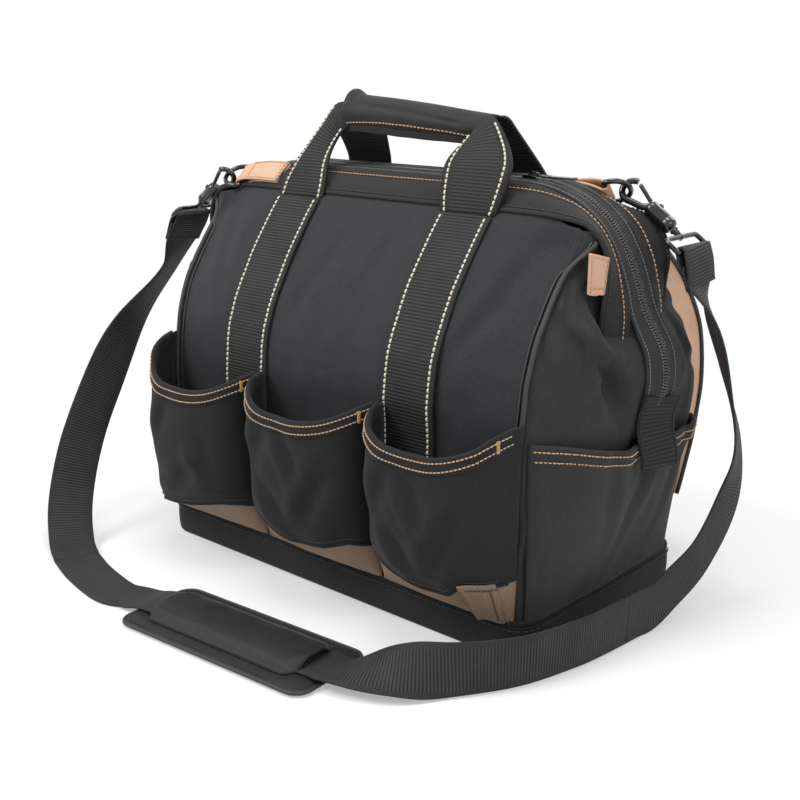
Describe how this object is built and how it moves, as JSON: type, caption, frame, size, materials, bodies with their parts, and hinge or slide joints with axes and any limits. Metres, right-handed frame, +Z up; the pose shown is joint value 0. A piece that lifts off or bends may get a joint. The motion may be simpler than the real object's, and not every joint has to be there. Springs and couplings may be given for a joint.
{
  "type": "gate-mouth tool bag",
  "caption": "Soft-sided tool bag with a zip gate mouth, outside pockets, wrapped carry handles and a padded shoulder strap.",
  "frame": {"origin": "centre of the base's underside, between the four corners of the boot", "axes": "+Z up; +X along the bag towards its right end; -Y is the front with three pockets"},
  "size_m": [0.5175, 0.4069, 0.3833],
  "materials": {
    "front_cloth": "padded woven polyester",
    "end_cloth": "woven polyester",
    "boot_cloth": "coated coarse weave",
    "webbing": "ribbed polypropylene webbing",
    "kick_trim": "brown woven trim",
    "pale_leather": "pale smooth",
    "black_metal": "gloss black",
    "frame_steel": "zinc plated wire",
    "zip_coil": "nylon coil on tape",
    "board": "matt sheet",
    "pad_cloth": "smooth foam-backed nylon"
  },
  "bodies": {
    "bag": {"base_boot": "boot_cloth", "base_board": "board", "front_wall": "front_cloth", "back_wall": "front_cloth", "left_end_wall": "end_cloth", "right_end_wall": "end_cloth", "upper_front_wall": "front_cloth", "upper_back_wall": "front_cloth", "left_front_gusset": "end_cloth", "right_front_gusset": "end_cloth", "left_back_gusset": "end_cloth", "right_back_gusset": "end_cloth", "left_frame_pivot": "frame_steel", "right_frame_pivot": "frame_steel", "left_front_pocket": "front_cloth", "middle_front_pocket": "front_cloth", "right_front_pocket": "front_cloth", "left_kick_trim": "kick_trim", "middle_kick_trim": "kick_trim", "right_kick_trim": "kick_trim", "left_end_pocket": "end_cloth", "right_end_pocket": "end_cloth", "back_pocket": "front_cloth", "back_pocket_top": "front_cloth", "left_pocket_gusset": "pale_leather", "right_pocket_gusset": "pale_leather", "front_left_webbing": "webbing", "front_right_webbing": "webbing", "back_left_webbing": "webbing", "back_right_webbing": "webbing", "left_zip_tab": "webbing", "right_zip_tab": "webbing", "side_tab": "pale_leather", "left_strap": "webbing", "floor_strap": "webbing", "right_strap": "webbing", "strap_pad": "pad_cloth", "pad_sleeve": "pad_cloth"},
    "front_gate": {"front_frame": "frame_steel", "front_cover": "front_cloth", "front_zip": "zip_coil", "left_ring_tab": "pale_leather"},
    "back_gate": {"back_frame": "frame_steel", "back_cover": "front_cloth", "back_zip": "zip_coil", "right_ring_tab": "pale_leather"},
    "front_handle_loop": {"front_handle": "webbing", "grip_flap": "front_cloth"},
    "back_handle_loop": {"back_handle": "webbing", "grip_wrap": "front_cloth"},
    "slider": {"zip_slider": "black_metal"},
    "puller": {"zip_puller": "black_metal"},
    "left_ring": {"left_d_ring": "black_metal"},
    "left_snap_hook": {"left_hook": "black_metal"},
    "left_latch": {"left_hook_latch": "black_metal"},
    "left_buckle": {"left_swivel_buckle": "black_metal"},
    "right_ring": {"right_d_ring": "black_metal"},
    "right_snap_hook": {"right_hook": "black_metal"},
    "right_latch": {"right_hook_latch": "black_metal"},
    "right_buckle": {"right_swivel_buckle": "black_metal"}
  },
  "joints": [
    {"name": "front_gate_hinge", "type": "hinge", "parent": "bag", "child": "front_gate", "pos_m": [0, 0, 0.176], "axis": [1, 0, 0], "range_deg": [0, 40], "deforming": ["upper_front_wall", "left_front_gusset", "right_front_gusset", "side_tab", "front_left_webbing", "front_right_webbing", "left_strap"]},
    {"name": "back_gate_hinge", "type": "hinge", "parent": "bag", "child": "back_gate", "pos_m": [0, 0, 0.176], "axis": [-1, 0, 0], "range_deg": [0, 40], "deforming": ["upper_back_wall", "left_back_gusset", "right_back_gusset", "back_left_webbing", "back_right_webbing", "back_pocket_top", "left_pocket_gusset", "right_pocket_gusset", "right_strap"]},
    {"name": "front_handle_hinge", "type": "hinge", "parent": "front_gate", "child": "front_handle_loop", "pos_m": [0, -0.038, 0.305], "axis": [1, 0, 0], "range_deg": [0, 140]},
    {"name": "back_handle_hinge", "type": "hinge", "parent": "back_gate", "child": "back_handle_loop", "pos_m": [0, 0.038, 0.305], "axis": [-1, 0, 0], "range_deg": [0, 140]},
    {"name": "zip_slide", "type": "slide", "parent": "front_gate", "child": "slider", "axis": [1, 0, 0], "range_m": [-0.25, 0.015]},
    {"name": "puller_hinge", "type": "hinge", "parent": "slider", "child": "puller", "pos_m": [0.12535, 0, 0.3279], "axis": [0, -1, 0], "range_deg": [0, 95]},
    {"name": "left_ring_hinge", "type": "hinge", "parent": "front_gate", "child": "left_ring", "pos_m": [-0.1685, -0.02769, 0.31161], "axis": [0.3097, -0.8115, -0.4956], "range_deg": [-14, 8], "deforming": ["left_strap"]},
    {"name": "left_hook_hinge", "type": "hinge", "parent": "left_ring", "child": "left_snap_hook", "pos_m": [-0.18424, -0.03407, 0.31222], "axis": [-0.343, 0.8121, 0.472], "range_deg": [-18, 18], "deforming": ["left_strap"]},
    {"name": "left_latch_hinge", "type": "hinge", "parent": "left_snap_hook", "child": "left_latch", "pos_m": [-0.20023, -0.036, 0.30392], "axis": [-0.343, 0.8121, 0.472], "range_deg": [0, 25], "stiffness_Nm_per_rad": 0.002},
    {"name": "left_swivel", "type": "hinge", "parent": "left_snap_hook", "child": "left_buckle", "pos_m": [-0.23723, -0.03407, 0.27372], "axis": [-0.809, 0, -0.5878], "range_deg": [-45, 45], "deforming": ["left_strap"]},
    {"name": "right_ring_hinge", "type": "hinge", "parent": "back_gate", "child": "right_ring", "pos_m": [0.16285, 0.02783, 0.31667], "axis": [-0.2105, 0.7882, -0.5783], "range_deg": [-14, 8], "deforming": ["right_strap"]},
    {"name": "right_hook_hinge", "type": "hinge", "parent": "right_ring", "child": "right_snap_hook", "pos_m": [0.17804, 0.03456, 0.32031], "axis": [0.3528, -0.7998, 0.4856], "range_deg": [-18, 18], "deforming": ["right_strap"]},
    {"name": "right_latch_hinge", "type": "hinge", "parent": "right_snap_hook", "child": "right_latch", "pos_m": [0.19401, 0.03654, 0.31197], "axis": [0.3528, -0.7998, 0.4856], "range_deg": [0, 25], "stiffness_Nm_per_rad": 0.002},
    {"name": "right_swivel", "type": "hinge", "parent": "right_snap_hook", "child": "right_buckle", "pos_m": [0.23103, 0.03456, 0.28181], "axis": [0.809, 0, -0.5878], "range_deg": [-45, 45], "deforming": ["right_strap"]}
  ],
  "couplings": [
    {"joint": "left_hook_hinge", "follows": "left_ring_hinge", "ratio": 1.26},
    {"joint": "right_hook_hinge", "follows": "right_ring_hinge", "ratio": 1.26}
  ]
}
